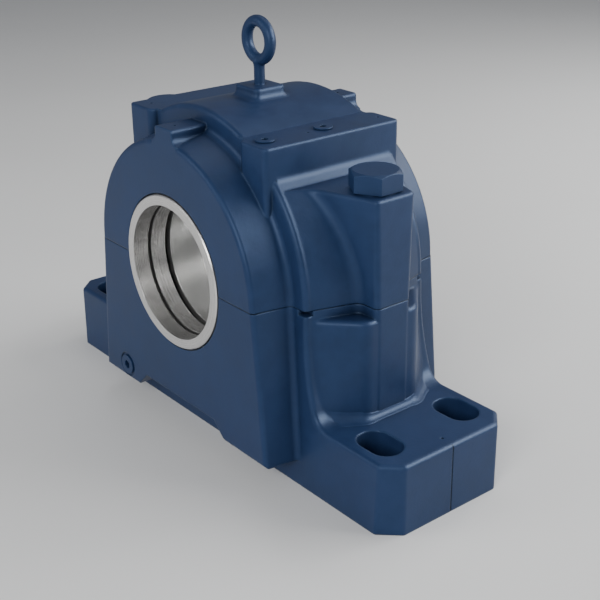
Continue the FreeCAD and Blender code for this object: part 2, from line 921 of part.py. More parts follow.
def drill_base(body):
    """Slots, tapped and dowel holes, pry slots, the drain and the marks on the feet."""
    centre = dim("centre_height")
    rise = dim("foot_thickness")
    end = dim("foot_length") / 2
    slots = new_sketch(body, "XY_Plane", "base_slots", (0, 0, rise + 1))
    for x in (-1, 1):
        for y in (-1, 1):
            outline = slot_outline(dim("slot_spacing_x") / 2 * x, dim("slot_spacing_y") / 2 * y)
            add_outline(slots, outline)
    pocket(body, slots, rise + 2)
    drill_holes(body, "base_bolt_holes", bolt_places(), dim("bolt_dia") / 2 + 0.05, centre, 62)
    drill_holes(body, "base_dowel_holes", dowel_places(), dim("dowel_dia") / 2, centre, 14)
    drill_holes(body, "base_foot_marks", [(end - 14.7, 0), (-end + 14.7, 0)], 1.5, rise, 1)

    pries = new_sketch(body, "XY_Plane", "base_pry_slots", (0, 0, centre))
    outer = dim("band_width") / 2 + 3
    inner = outer - 12
    wall = dim("band_rad")
    for low, high in ((-outer, -inner), (inner, outer)):
        box = rectangle(wall - 11, wall + 8, low, high)
        add_outline(pries, box)
        add_outline(pries, flipped(box))
    pocket(body, pries, dim("pry_depth"))

    lines = new_sketch(body, "XY_Plane", "base_centre_lines")
    notch = [(end + 1, -0.8), (end + 1, 0.8), (end - 1.2, 0)]
    add_outline(lines, notch)
    add_outline(lines, flipped(notch))
    pocket(body, lines, rise, backwards=True)

    front = dim("barrel_length") / 2
    for name, radius, depth in (
        ("base_drain_face", dim("drain_dia") / 2 + 3, 1.5),
        ("base_drain_hole", dim("drain_thread_dia") / 2, dim("end_wall") + 3),
    ):
        drain = new_sketch(body, "XZ_Plane", name, (0, 0, front))
        add_circle(drain, (-dim("drain_across"), dim("drain_height")), radius)
        pocket(body, drain, depth)


# Bearing


def ring_outline(inner, outer, front, back, edge=0):
    """A plain ring from front to back along y, with its outer edges bevelled."""
    if not edge:
        return [(front, inner), (back, inner), (back, outer), (front, outer)]
    return [
        (front, inner),
        (back, inner),
        (back, outer - edge),
        (back - edge, outer),
        (front + edge, outer),
        (front, outer - edge),
    ]


def roller_geometry():
    """Distance of a roller's middle from the bearing's centre, and the radius of its barrel."""
    pitch = dim("race_rad") - dim("roller_dia") / 2 - RUNNING_GAP
    barrel = dim("race_rad") * 0.97
    return pitch, barrel


def tilted(distance):
    """A distance along a roller row's pressure line, as (y, radius)."""
    tilt = math.radians(DIMENSIONS["roller_tilt"])
    return (
        Size(distance.value * math.sin(tilt), f"({distance.text} * sin(Dims.roller_tilt * 1 deg))"),
        Size(distance.value * math.cos(tilt), f"({distance.text} * cos(Dims.roller_tilt * 1 deg))"),
    )


def outer_ring():
    """The outer ring, hollow ground to one sphere, with an oil groove round its middle."""
    half = dim("bearing_width") / 2
    outer = dim("bearing_outer_dia") / 2
    race = dim("race_rad")
    lip = leg(race, half)
    edge = 3
    return turned_body("outer_ring", [
        (half, lip, race, "right"),
        (half, outer - edge),
        (half - edge, outer),
        (6, outer),
        (4, outer - 2),
        (-4, outer - 2),
        (-6, outer),
        (-half + edge, outer),
        (-half, outer - edge),
        (-half, lip),
    ])


def inner_ring():
    """The inner ring, taper bored, with a hollow track for each row of rollers."""
    half = dim("bearing_width") / 2
    small = dim("bearing_bore") / 2
    pitch, barrel = roller_geometry()
    track = barrel + RUNNING_GAP
    middle_y, middle_rad = tilted(pitch + barrel - dim("roller_dia") / 2)
    start = 3.5
    stop = half - 5
    start_rad = middle_rad - leg(track, middle_y - start)
    stop_rad = middle_rad - leg(track, middle_y - stop)
    lip = stop_rad + 2.5
    return turned_body("inner_ring", [
        (-half, small),
        (half, small + taper_rise(half * 2)),
        (half, lip),
        (stop, lip),
        (stop, stop_rad),
        (start, start_rad, track, "right"),
        (-start, start_rad),
        (-stop, stop_rad, track, "right"),
        (-stop, lip),
        (-half, lip),
    ])


def taper_rise(length):
    """The seat's taper is one in twelve on diameter."""
    return size(length) / 24


def roller_row(side):
    """One row of barrel rollers, leaning towards the middle of the bearing."""
    name = "rollers_front" if side < 0 else "rollers_rear"
    body = new_body(name)
    body.AllowCompound = True
    pitch, barrel = roller_geometry()
    along, out = tilted(pitch)
    half = dim("roller_length") / 2
    rad = dim("roller_dia") / 2
    end_rad = rad - barrel + leg(barrel, half)
    sketch = new_sketch(body, "YZ_Plane", f"{name}_profile", (along * side, dim("centre_height") + out, 0))
    lean = Rotation(Vector(0, 0, 1), -side * DIMENSIONS["roller_tilt"])
    sketch.AttachmentOffset = Placement(sketch.AttachmentOffset.Base, lean)
    bind(sketch, "AttachmentOffset.Base.x", along * side)
    bind(sketch, "AttachmentOffset.Base.y", dim("centre_height") + out)
    bind(sketch, "AttachmentOffset.Rotation.Angle", dim("roller_tilt") * -side)
    add_outline(sketch, [(-half, 0), (half, 0), (half, end_rad), (-half, end_rad, barrel, "left")])
    roller = revolve(body, sketch)
    axis = new_sketch(body, "YZ_Plane", f"{name}_axis", (0, dim("centre_height"), 0))
    repeat_round(body, roller, axis, dim("rollers_per_row"))
    return body


def cage():
    """One cage for both rows, with a window round every roller."""
    middle_rad = dim("cage_rad")
    thick = dim("cage_thickness")
    half = dim("bearing_width") / 2 - 3
    drop = 5
    body = turned_body("cage", [
        (0, middle_rad),
        (half, middle_rad - drop),
        (half, middle_rad - drop + thick),
        (0, middle_rad + thick),
        (-half, middle_rad - drop + thick),
        (-half, middle_rad - drop),
    ])
    wide = dim("roller_dia") / 2 + 0.6
    start = 3
    stop = half - 2.5
    axis = new_sketch(body, "YZ_Plane", "cage_axis", (0, dim("centre_height"), 0))
    above = dim("centre_height") + middle_rad + 10
    for side in (-1, 1):
        window = new_sketch(body, "XY_Plane", f"cage_window_{side + 1}", (0, 0, above))
        low, high = sorted((size(start) * side, stop * side), key=lambda end: end.value)
        add_outline(window, rectangle(-wide, wide, low, high))
        cut = pocket(body, window, 30)
        repeat_round(body, cut, axis, dim("rollers_per_row"))
    return body


def guide_ring():
    """The loose ring between the two rows."""
    return turned_body("guide_ring", [(-0.9, 99.4), (0.9, 99.4), (2.7, 112.4), (-2.7, 112.4)])


def adapter_sleeve():
    """A slit sleeve with a straight bore, a tapered seat and a plain end for the nut."""
    bore = dim("shaft_dia") / 2
    half = dim("bearing_width") / 2
    small = dim("bearing_bore") / 2
    nut_end = dim("sleeve_nut_end")
    far = dim("sleeve_length") - nut_end
    body = turned_body("adapter_sleeve", [
        (-nut_end, bore),
        (far, bore),
        (far, small + taper_rise(far + half)),
        (-half, small),
        (-nut_end + 1.5, small),
        (-nut_end, small - 1.5),
    ])
    slit = new_sketch(body, "YZ_Plane", "sleeve_slit")
    gap = 2.5
    centre = dim("centre_height")
    add_outline(slit, rectangle(-nut_end - 1, far + 1, centre - gap, centre + gap))
    pocket(body, slit, 100, backwards=True)
    return body


def slotted_ring(name, outline, slots, wide, deep, outer):
    """A turned ring with open slots cut round its rim, as a spanner or a tab needs them."""
    body = turned_body(name, outline)
    front, back = outline[0][0], outline[1][0]
    centre = dim("centre_height")
    sketch = new_sketch(body, "YZ_Plane", f"{name}_slot", (0, centre, 0))
    add_outline(sketch, rectangle(front - 1, back + 1, outer - deep, outer + 5))
    cut = pocket(body, sketch, wide, symmetric=True)
    repeat_round(body, cut, sketch, slots)
    return body


def lock_washer():
    front = -(dim("bearing_width") / 2 + dim("washer_thickness"))
    outer = dim("nut_dia") / 2 - 1
    outline = ring_outline(dim("bearing_bore") / 2 + 0.1, outer, front, -(dim("bearing_width") / 2))
    return slotted_ring("lock_washer", outline, 16, 9, 6, outer)


def lock_nut():
    back = -(dim("bearing_width") / 2 + dim("washer_thickness"))
    outer = dim("nut_dia") / 2
    outline = ring_outline(dim("bearing_bore") / 2 + 0.1, outer, back - dim("nut_width"), back, 2)
    return slotted_ring("lock_nut", outline, 8, 18, 8, outer)


def locating_ring(side):
    name = "locating_ring_front" if side < 0 else "locating_ring_rear"
    near_end = dim("bearing_width") / 2 * side
    far_end = dim("seat_width") / 2 * side
    front, back = sorted((near_end, far_end), key=lambda end: end.value)
    return turned_body(name, ring_outline(127, dim("bearing_outer_dia") / 2 - 0.1, front, back, 1))


# Seals


def labyrinth_ring(side):
    """The turning seal ring: a shaft bore with a cord groove, and ribs in the housing's groove."""
    name = "labyrinth_ring_front" if side < 0 else "labyrinth_ring_rear"
    bore = dim("shaft_dia") / 2
    body_rad = dim("seal_dia") / 2
    rib = dim("seal_rib_dia") / 2
    face = dim("barrel_length") / 2 + dim("seal_proud")
    inner = face - dim("seal_length")
    wall = dim("barrel_length") / 2
    groove_deep = bore + dim("cord_dia") + 0.7
    outline = [
        (face, bore),
        (face, body_rad - 1),
        (face - 1, body_rad),
        (wall - 10.5, body_rad),
        (wall - 10.5, rib),
        (wall - 16.5, rib),
        (wall - 16.5, body_rad),
        (inner + 5.5, body_rad),
        (inner + 5.5, rib),
        (inner, rib),
        (inner, bore),
        (cord_place() - 2.4, bore),
        (cord_place() - 2.4, groove_deep),
        (cord_place() + 2.4, groove_deep),
        (cord_place() + 2.4, bore),
    ]
    return turned_body(name, outline if side > 0 else flipped(outline))


def cord_place():
    """How far the seal cord lies from the housing's middle."""
    return dim("barrel_length") / 2 + dim("seal_proud") - 19.6


def seal_cord(side):
    """The round rubber cord that drives the labyrinth ring from the shaft."""
    name = "seal_cord_front" if side < 0 else "seal_cord_rear"
    body = new_body(name)
    rad = dim("cord_dia") / 2
    sketch = new_sketch(body, "YZ_Plane", f"{name}_profile", (0, dim("centre_height"), 0))
    add_circle(sketch, (cord_place() * side, dim("shaft_dia") / 2 + rad + 0.4), rad)
    revolve(body, sketch)
    return body


# Fasteners


def hexagon(flats):
    """A hexagon with two flats square to x."""
    apothem = size(flats) / 2
    corner = apothem * (2 / math.sqrt(3))
    return [
        (apothem, -corner / 2),
        (apothem, corner / 2),
        (0, corner),
        (-apothem, corner / 2),
        (-apothem, -corner / 2),
        (0, -corner),
    ]


def place(body, x, y, z):
    for axis, amount in zip("xyz", (x, y, z)):
        bind(body, f"Placement.Base.{axis}", amount)


def cap_bolt(side):
    """A hexagon bolt with a washer face, standing on the cap's seat."""
    body = new_body("cap_bolt_right" if side > 0 else "cap_bolt_left")
    rad = dim("bolt_dia") / 2
    flats = dim("bolt_flats")
    head = dim("bolt_head")
    washer = 1.5
    shank = new_sketch(body, "XZ_Plane", f"{body.Label}_shank")
    length = dim("seat_height") - dim("centre_height") + dim("bolt_thread_depth")
    add_outline(shank, [
        (0, -length),
        (rad - 2, -length),
        (rad, -length + 2),
        (rad, 0),
        (flats * 0.475, 0),
        (flats * 0.475, washer),
        (0, washer),
    ])
    revolve(body, shank, axis="V_Axis")
    hexes = new_sketch(body, "XY_Plane", f"{body.Label}_head", (0, 0, washer))
    add_outline(hexes, hexagon(flats))
    pad(body, hexes, head)
    top = head + washer
    corner = flats / math.sqrt(3)
    bevel = new_sketch(body, "XZ_Plane", f"{body.Label}_bevel")
    drop = (corner - flats * 0.475) * 0.577
    add_outline(bevel, [(flats * 0.475, top), (corner + 1, top - drop - 0.577), (corner + 1, top)])
    groove(body, bevel, axis="V_Axis")
    place(body, dim("bolt_reach") * side, 0, dim("seat_height"))
    return body


def pin_body(name, steps, socket, socket_depth):
    """A plug turned from (radius, from, to) steps along z, with a hexagon socket in its top."""
    body = new_body(name)
    outline = [(0, steps[0][1])]
    for radius, bottom, top in steps:
        outline += [(radius, bottom), (radius, top)]
    outline.append((0, steps[-1][2]))
    sketch = new_sketch(body, "XZ_Plane", f"{name}_profile")
    add_outline(sketch, outline)
    revolve(body, sketch, axis="V_Axis")
    if socket:
        hole = new_sketch(body, "XY_Plane", f"{name}_socket", (0, 0, steps[-1][2]))
        add_outline(hole, hexagon(socket))
        pocket(body, hole, socket_depth)
    return body


def grease_plug(name, x, y):
    head = dim("plug_dia") / 2
    thread = dim("plug_thread_dia") / 2
    neck = head - 1.5
    body = pin_body(name, [(thread, -14, 0), (neck, 0, 0.5), (head, 0.5, 2)], 6.5, 6)
    place(body, x, y, dim("rail_top"))
    return body


def drain_plug():
    steps = [(dim("drain_thread_dia") / 2, -24, -1.5), (dim("drain_dia") / 2, -1.5, 1)]
    body = pin_body("drain_plug", steps, 9, 8)
    body.Placement = Placement(Vector(0, 0, 0), Rotation(Vector(1, 0, 0), 90))
    place(body, -dim("drain_across"), -(dim("barrel_length") / 2), dim("drain_height"))
    return body


def dowel_pin(name, x, y):
    body = pin_body(name, [(dim("dowel_dia") / 2, -13, 13)], 0, 0)
    place(body, x, y, dim("centre_height"))
    return body


def eye_bolt():
    """A lifting eye: a ring in the plane across the shaft, on a round stem screwed into the cap."""
    body = new_body("eye_bolt")
    pad_top = dim("eye_pad_top")
    height = dim("eye_height") - pad_top
    stem = dim("eye_stem_dia") / 2
    thread = dim("eye_thread_dia") / 2
    ring_low = height - dim("eye_ring_rad")
    sketch = new_sketch(body, "XZ_Plane", "eye_stem")
    add_outline(sketch, [
        (0, -19),
        (thread, -19),
        (thread, -0.5),
        (stem, 0),
        (stem, ring_low - 7),
        (stem + 1.6, ring_low - 2.5),
        (0, ring_low + 1),
    ])
    revolve(body, sketch, axis="V_Axis")
    wire = new_sketch(body, "XY_Plane", "eye_wire", (0, 0, height))
    add_circle(wire, (dim("eye_ring_rad"), 0), dim("eye_wire_rad"))
    revolve(body, wire, axis="V_Axis")
    place(body, 0, 0, pad_top)
    return body


def build_parts():
    bodies = [housing_base(), housing_cap(), eye_bolt(), drain_plug()]
    for side in (-1, 1):
        bodies += [cap_bolt(side), labyrinth_ring(side), seal_cord(side)]
        bodies += [locating_ring(side), roller_row(side)]
    bodies += [outer_ring(), inner_ring(), guide_ring(), cage()]
    bodies += [adapter_sleeve(), lock_washer(), lock_nut()]
    for name, (x, y) in zip(("grease_plug_front", "grease_plug_middle"), plug_places()):
        bodies.append(grease_plug(name, x, y))
    for name, (x, y) in zip(("dowel_pin_rear", "dowel_pin_front"), dowel_places()):
        bodies.append(dowel_pin(name, x, y))
    return bodies


def main():
    make_sheet()
    bodies = build_parts()
    doc.recompute()
    for obj in doc.Objects:
        if "Invalid" in obj.State or "Error" in obj.State:
            raise ValueError(f"{obj.Label}: {obj.State}")
    os.makedirs("parts", exist_ok=True)
    for body in bodies:
        shape = body.Shape
        if shape.isNull() or not shape.isValid():
            raise ValueError(f"{body.Label} has no valid shape")
        print(f"{body.Label}: {len(shape.Solids)} solids, {shape.Volume / 1000:.1f} cm3")
        shape.exportStep(f"parts/{body.Label}.step")


main()
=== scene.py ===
"""Looks, light and camera for a split plummer block.

Lengths are metres: Z up, Y along the shaft, X along the feet.
"""
import json
import math

import bmesh
import bpy
from mathutils import Matrix, Vector


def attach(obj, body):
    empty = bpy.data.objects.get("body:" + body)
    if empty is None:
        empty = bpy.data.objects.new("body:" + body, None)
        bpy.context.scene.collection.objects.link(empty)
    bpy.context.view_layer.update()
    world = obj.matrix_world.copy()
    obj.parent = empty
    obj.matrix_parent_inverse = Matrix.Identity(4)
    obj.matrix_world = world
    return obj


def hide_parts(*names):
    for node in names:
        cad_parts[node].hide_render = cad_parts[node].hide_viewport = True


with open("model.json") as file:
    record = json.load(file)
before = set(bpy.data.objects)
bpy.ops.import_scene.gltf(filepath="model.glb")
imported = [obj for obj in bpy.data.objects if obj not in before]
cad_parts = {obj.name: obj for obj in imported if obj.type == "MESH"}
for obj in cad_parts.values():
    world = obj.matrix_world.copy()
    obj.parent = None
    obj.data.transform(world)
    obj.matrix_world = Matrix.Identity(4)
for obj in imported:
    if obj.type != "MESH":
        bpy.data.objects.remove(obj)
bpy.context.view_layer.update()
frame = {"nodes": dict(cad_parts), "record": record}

# Housing
SHAFT_HEIGHT = 0.188
PARTING = 0.188
UNDERSIDE = 0.0004
SCORE_START = 0.2855  # past this along X, the foot's end carries its centre line

# Radius and half length of the turned spaces: bearing seat, room beside it, seal bores
TURNED_SPACES = ((0.1456, 0.0556), (0.1206, 0.0876), (0.0912, 0.1166))

# Wall over each foot: a shoulder with a flat end, soft corners and slanted flanks, and the bolt
# column that stands a little proud of it
FOOT_TOP = 0.074
SKIRT_LOW = 0.072
SKIRT_TOP = 0.150
SKIRT_INSET = 0.0006
SHOULDER_RIM = 0.0712
SHOULDER_HALF = 0.0255
SHOULDER_SOFT = 0.016
SHOULDER_END = 0.20292
FLANK_SLOPE_LOW = 57.0
FLANK_SLOPE_HIGH = 43.2
COLUMN_END = 0.20353
COLUMN_HALF = 0.020
COLUMN_FADE = 0.032  # across the shoulder, where the column has run out into the flank

# Cove at the foot: its radius on the column, on the flank and at the shoulder's rim
COVE_COLUMN = 0.0062
COVE_FLANK = 0.0096
COVE_RIM = 0.0126
COVE_FLANK_AT = 0.036  # across the shoulder, where the flank's radius is reached
COVE_RIM_FROM = 0.040  # and where it starts to open out towards the rim
COVE_WALL = 0.0015
COVE_BURIED = 0.0012  # how deep both borders dip into the casting
COVE_BORDER = 0.1  # share of the cove's width that each border takes

# Lifting eye
EYE_SEAT = 0.363
EYE_HEIGHT = 0.407
EYE_RING = 0.0190
EYE_WIRE = 0.0059
EYE_STEM = 0.0056
EYE_SWELL = 0.0060
EYE_NECK = 0.0068
THREAD_RADIUS = 0.0060
THREAD_DEPTH = 0.0185

# Studio
FLOOR_REACH = 40.0
SKY = (0.90, 0.93, 1.0, 1)
SKY_STRENGTH = 0.24
CAMERA_PLACE = (0.9215, -0.6833, 0.6282)
IMAGE_WIDTH = 600
FOCAL_PIXELS = 1147.33
SHIFT_PIXELS = (-28.81, -13.53)

# Colours: red, green, blue and cover. A pair is the darker and the lighter tone of one finish. Each edge
# colour is a painted highlight, and each hollow and seam colour is painted shade.
CAST_BLUES = ((0.0110, 0.0250, 0.070, 1), (0.0160, 0.0345, 0.092, 1))
CAST_EDGE_HIGHLIGHT = (0.034, 0.072, 0.150, 1)
CAST_HOLLOW_SHADE = (0.0008, 0.0020, 0.0065, 1)
CAST_SEAM_SHADE = (0.0015, 0.0045, 0.014, 1)
BARE_IRONS = ((0.20, 0.195, 0.19, 1), (0.33, 0.32, 0.31, 1))
FASTENER_BLUES = ((0.0105, 0.0240, 0.066, 1), (0.0160, 0.0350, 0.094, 1))
FASTENER_EDGE_HIGHLIGHT = (0.04, 0.085, 0.17, 1)
FASTENER_HOLLOW_SHADE = (0.001, 0.002, 0.004, 1)
STEEL_EDGE_HIGHLIGHT = (0.86, 0.86, 0.86, 1)
BRASSES = ((0.52, 0.34, 0.11, 1), (0.72, 0.52, 0.22, 1))
BRASS_EDGE_HIGHLIGHT = (0.86, 0.70, 0.38, 1)
RUBBERS = ((0.008, 0.008, 0.008, 1), (0.022, 0.021, 0.020, 1))
FLOORS = ((0.76, 0.76, 0.75, 1), (0.80, 0.80, 0.79, 1))

# The paint's shine is weak and bluish, on castings and fasteners alike.
PAINT_SHINE = {"Specular_IOR_Level": 0.36, "Specular_Tint": (0.5, 0.68, 1.0, 1)}

# Turned steels: darker and lighter tone, roughness, rings per metre, depth of the rings, and how
# metallic the surface is
STEELS = {
    "machined_iron": ((0.24, 0.23, 0.22, 1), (0.38, 0.37, 0.36, 1), 0.42, 1400.0, 0.12, 1.0),
    "ground_steel": ((0.50, 0.50, 0.50, 1), (0.66, 0.66, 0.66, 1), 0.26, 2600.0, 0.12, 1.0),
    "ring_steel": ((0.52, 0.52, 0.53, 1), (0.70, 0.70, 0.71, 1), 0.20, 3600.0, 0.12, 1.0),
    "roller_steel": ((0.60, 0.60, 0.61, 1), (0.74, 0.74, 0.75, 1), 0.12, 3600.0, 0.12, 1.0),
    "sleeve_steel": ((0.62, 0.62, 0.61, 1), (0.84, 0.84, 0.83, 1), 0.22, 2000.0, 0.30, 0.94),
    "seal_steel": ((0.58, 0.57, 0.56, 1), (0.80, 0.79, 0.78, 1), 0.24, 2400.0, 0.30, 0.94),
}


# Shader arithmetic


class Wire:
    """A value over the surface that can be added to, scaled and compared."""

    def __init__(self, paint, socket):
        self.paint = paint
        self.socket = socket

    def math(self, operation, *others, **settings):
        values = {index + 1: other for index, other in enumerate(others)}
        settings["operation"] = operation
        return self.paint.node("ShaderNodeMath", settings, {0: self, **values})

    def __add__(self, other):
        return self.math("ADD", other)

    def __sub__(self, other):
        return self.math("SUBTRACT", other)

    def __rsub__(self, other):
        return self.paint.node("ShaderNodeMath", {"operation": "SUBTRACT"}, {0: other, 1: self})

    def __mul__(self, other):
        return self.math("MULTIPLY", other)

    def __pow__(self, other):
        return self.math("POWER", other)

    def __gt__(self, other):
        return self.math("GREATER_THAN", other)

    def __lt__(self, other):
        return self.math("LESS_THAN", other)

    __radd__ = __add__

    def absolute(self):
        return self.math("ABSOLUTE")

    def clamped(self):
        return self.math("ADD", 0.0, use_clamp=True)

    def ramp(self, start, stop):
        """0 at start and 1 at stop, with soft ends."""
        return self.paint.node(
            "ShaderNodeMapRange",
            {"interpolation_type": "SMOOTHSTEP"},
            {"Value": self, "From Min": start, "From Max": stop},
        )


class Paint:
    """One material, made of nodes on the object's own coordinates."""

    def __init__(self, name, **fixed):
        self.material = bpy.data.materials.new(name)
        self.material.use_nodes = True
        self.tree = self.material.node_tree
        self.shader = self.tree.nodes["Principled BSDF"]
        for socket, value in fixed.items():
            self.shader.inputs[socket.replace("_", " ")].default_value = value
        self.place = self.node("ShaderNodeTexCoord", {}, {}, "Object")

    def node(self, kind, settings, sockets, output=0):
        node = self.tree.nodes.new(kind)
        for name, value in settings.items():
            setattr(node, name, value)
        for name, value in sockets.items():
            if isinstance(value, Wire):
                self.tree.links.new(value.socket, node.inputs[name])
            else:
                node.inputs[name].default_value = value
        return Wire(self, node.outputs[output])

    def axes(self):
        """The x, y and z of each point."""
        split = self.node("ShaderNodeSeparateXYZ", {}, {0: self.place})
        outputs = split.socket.node.outputs
        return [Wire(self, outputs[axis]) for axis in range(3)]

    def from_shaft(self):
        """Distance from the shaft's axis, and distance along it from the middle."""
        x, y, z = self.axes()
        height = z - SHAFT_HEIGHT
        return (x * x + height * height) ** 0.5, y.absolute()

    def stretched(self, scale):
        """The place, scaled along each axis."""
        return self.node("ShaderNodeMapping", {}, {"Vector": self.place, "Scale": scale})

    def noise(self, scale, detail=4.0, roughness=0.5, place=None):
        sockets = {"Vector": place or self.place, "Scale": scale, "Detail": detail, "Roughness": roughness}
        return self.node("ShaderNodeTexNoise", {"noise_dimensions": "3D"}, sockets)

    def mix(self, share, first, second):
        """First colour where share is 0, second where it is 1."""
        sockets = {"Factor": share, 6: first, 7: second}
        return self.node("ShaderNodeMix", {"data_type": "RGBA"}, sockets, 2)

    def vector_math(self, operation, first, second, output=0):
        return self.node("ShaderNodeVectorMath", {"operation": operation}, {0: first, 1: second}, output)

    def soft_edges(self, radius):
        """The surface's direction with its edges rounded off, and how near an edge each point is."""
        rounded = self.node("ShaderNodeBevel", {"samples": 6}, {"Radius": radius})
        plain = self.node("ShaderNodeNewGeometry", {}, {}, "Normal")
        facing = self.vector_math("DOT_PRODUCT", rounded, plain, "Value")
        return rounded, (1.0 - facing).ramp(0.015, 0.16)

    def openness(self, reach):
        """1 out in the open, 0 deep in a hole or a tight corner; it sets where shade is painted."""
        settings = {"samples": 6, "only_local": True}
        return self.node("ShaderNodeAmbientOcclusion", settings, {"Distance": reach}, "AO")

    def bump(self, height, strength, distance, under=None):
        sockets = {"Height": height, "Strength": strength, "Distance": distance}
        if under:
            sockets["Normal"] = under
        return self.node("ShaderNodeBump", {}, sockets)

    def feed(self, **sockets):
        for name, wire in sockets.items():
            self.tree.links.new(wire.socket, self.shader.inputs[name.replace("_", " ")])
        return self.material


# Finishes


def machined_faces(paint):
    """1 on the housing's bare faces: the turned spaces inside and the underside."""
    radius, along = paint.from_shaft()
    _, _, height = paint.axes()
    inside = sum((radius < reach) * (along < half) for reach, half in TURNED_SPACES)
    return (inside + (height < UNDERSIDE)).clamped()


def painted_shade_lines(paint):
    """1 along the parting and along the centre line scored down each foot's end, where shade is painted.
    """
    x, y, height = paint.axes()
    parting = 1.0 - (height - PARTING).absolute().ramp(0.00025, 0.0007)
    score = (1.0 - y.absolute().ramp(0.0005, 0.0010)) * (x.absolute() > SCORE_START)
    return parting + score


def cast_paint():
    """Satin dark blue paint over sand-cast iron, with bare machined faces inside and underneath, painted
    highlights along its edges, and painted shade in its hollows, along its parting and down the grooves in
    its feet.
    """
    paint = Paint("cast_paint", **PAINT_SHINE)
    rounded, edge = paint.soft_edges(0.0032)
    cloud = paint.noise(9.0, 3.0)
    mottle = paint.noise(60.0, 5.0, 0.6)
    sand = paint.noise(420.0, 3.0, 0.6)
    fine = paint.noise(1500.0, 2.0)
    tone = (cloud * 0.5 + mottle * 0.5).ramp(0.3, 0.7)
    # Painted edge highlight: lighter blue along the edges, where the paint is also a little smoother.
    edge_highlight = (edge * (0.35 + mottle)).clamped()
    blue = paint.mix(tone, *CAST_BLUES)
    blue = paint.mix(edge_highlight * 0.5, blue, CAST_EDGE_HIGHLIGHT)
    # Painted shade: darker deep in hollows and tight corners.
    blue = paint.mix(paint.openness(0.03).ramp(0.22, 0.8), CAST_HOLLOW_SHADE, blue)

    bare = machined_faces(paint)
    cutting_marks = paint.noise(900.0, 2.0, place=paint.stretched((0.05, 1.0, 0.05)))
    colour = paint.mix(bare, blue, paint.mix(cutting_marks, *BARE_IRONS))
    # Painted shade along the parting seam and down the groove in each foot's end.
    colour = paint.mix(painted_shade_lines(paint) * (1.0 - bare), colour, CAST_SEAM_SHADE)

    skin = sand * 0.6 + fine * 0.25 + mottle * 0.8
    normal = paint.bump(skin, 0.16, 0.0009, rounded)
    roughness = 0.33 + tone * 0.08 + fine * 0.08 - edge_highlight * 0.06
    return paint.feed(Base_Color=colour, Roughness=roughness, Metallic=bare, Normal=normal)


def fastener_paint():
    """The same blue on bolts, plugs and the lifting eye, thinner and a little glossier."""
    paint = Paint("fastener_paint", **PAINT_SHINE)
    rounded, edge = paint.soft_edges(0.0009)
    cloud = paint.noise(40.0, 4.0)
    fine = paint.noise(900.0, 3.0)
    # Painted edge highlight: lighter blue along the edges.
    edge_highlight = (edge * (0.3 + cloud)).clamped()
    blue = paint.mix(cloud, *FASTENER_BLUES)
    blue = paint.mix(edge_highlight * 0.6, blue, FASTENER_EDGE_HIGHLIGHT)
    # Painted shade: darker deep in hollows and tight corners.
    blue = paint.mix(paint.openness(0.006).ramp(0.4, 0.92), FASTENER_HOLLOW_SHADE, blue)
    normal = paint.bump(fine + cloud, 0.1, 0.0006, rounded)
    roughness = 0.34 + fine * 0.12 + cloud * 0.05
    return paint.feed(Base_Color=blue, Roughness=roughness, Normal=normal)


def turned_steel(name, dark, light, roughness, rings, depth, metal):
    """Bare steel with the fine rings that a lathe leaves, round the shaft's axis."""
    paint = Paint(name)
    rounded, edge = paint.soft_edges(0.0006)
    radius, along = paint.from_shaft()
    ring_place = paint.node("ShaderNodeCombineXYZ", {}, {"X": radius, "Y": along, "Z": 0.0})
    lines = paint.noise(rings, 2.0, 0.7, ring_place)
    bands = paint.noise(rings * 0.12, 3.0, 0.6, ring_place)
    smear = paint.noise(30.0, 4.0)
    tone = lines * 0.45 + bands * 0.35 + smear * 0.2
    # Painted edge highlight: lighter steel along the edges.
    colour = paint.mix(edge * 0.5, paint.mix(tone, dark, light), STEEL_EDGE_HIGHLIGHT)
    normal = paint.bump(lines + bands, depth, 0.0003, rounded)
    rough = roughness + lines * 0.12 + smear * 0.06 - 0.06
    return paint.feed(Base_Color=colour, Roughness=rough, Metallic=metal - tone * 0.02, Normal=normal)


def cage_brass():
    """Machined brass, with a painted highlight along its edges."""
    paint = Paint("cage_brass")
    rounded, edge = paint.soft_edges(0.0008)
    cloud = paint.noise(50.0, 4.0)
    fine = paint.noise(1200.0, 2.0)
    # Painted edge highlight: brighter brass along the edges.
    colour = paint.mix(edge * 0.5, paint.mix(cloud, *BRASSES), BRASS_EDGE_HIGHLIGHT)
    normal = paint.bump(fine, 0.1, 0.0003, rounded)
    roughness = 0.28 + cloud * 0.14
    return paint.feed(Base_Color=colour, Roughness=roughness, Metallic=1.0 - cloud * 0.03, Normal=normal)


def cord_rubber():
    """Matt black rubber with a little dust."""
    paint = Paint("cord_rubber", Specular_IOR_Level=0.3)
    speck = paint.noise(700.0, 4.0, 0.6)
    dust = paint.noise(90.0, 3.0)
    normal = paint.bump(speck, 0.2, 0.0003)
    return paint.feed(Base_Color=paint.mix(dust, *RUBBERS), Roughness=0.62 + dust * 0.2, Normal=normal)


def studio_floor():
    """Plain pale floor."""
    paint = Paint("studio_floor", Specular_IOR_Level=0.25)
    cloud = paint.noise(2.5, 3.0)
    return paint.feed(Base_Color=paint.mix(cloud, *FLOORS), Roughness=0.7 + cloud * 0.1)


finishes = {
    "cast_paint": cast_paint(),
    "fastener_paint": fastener_paint(),
    "cage_brass": cage_brass(),
    "cord_rubber": cord_rubber(),
    **{name: turned_steel(name, *look) for name, look in STEELS.items()},
}

for entry in frame["record"]["subparts"]:
    mesh = frame["nodes"][entry["node"]].data
    mesh.materials.clear()
    mesh.materials.append(finishes[entry["material_slot"]])


# Pieces


def soften(mesh):
    """Shade the mesh's faces as one smooth skin."""
    mesh.polygons.foreach_set("use_smooth", [True] * len(mesh.polygons))


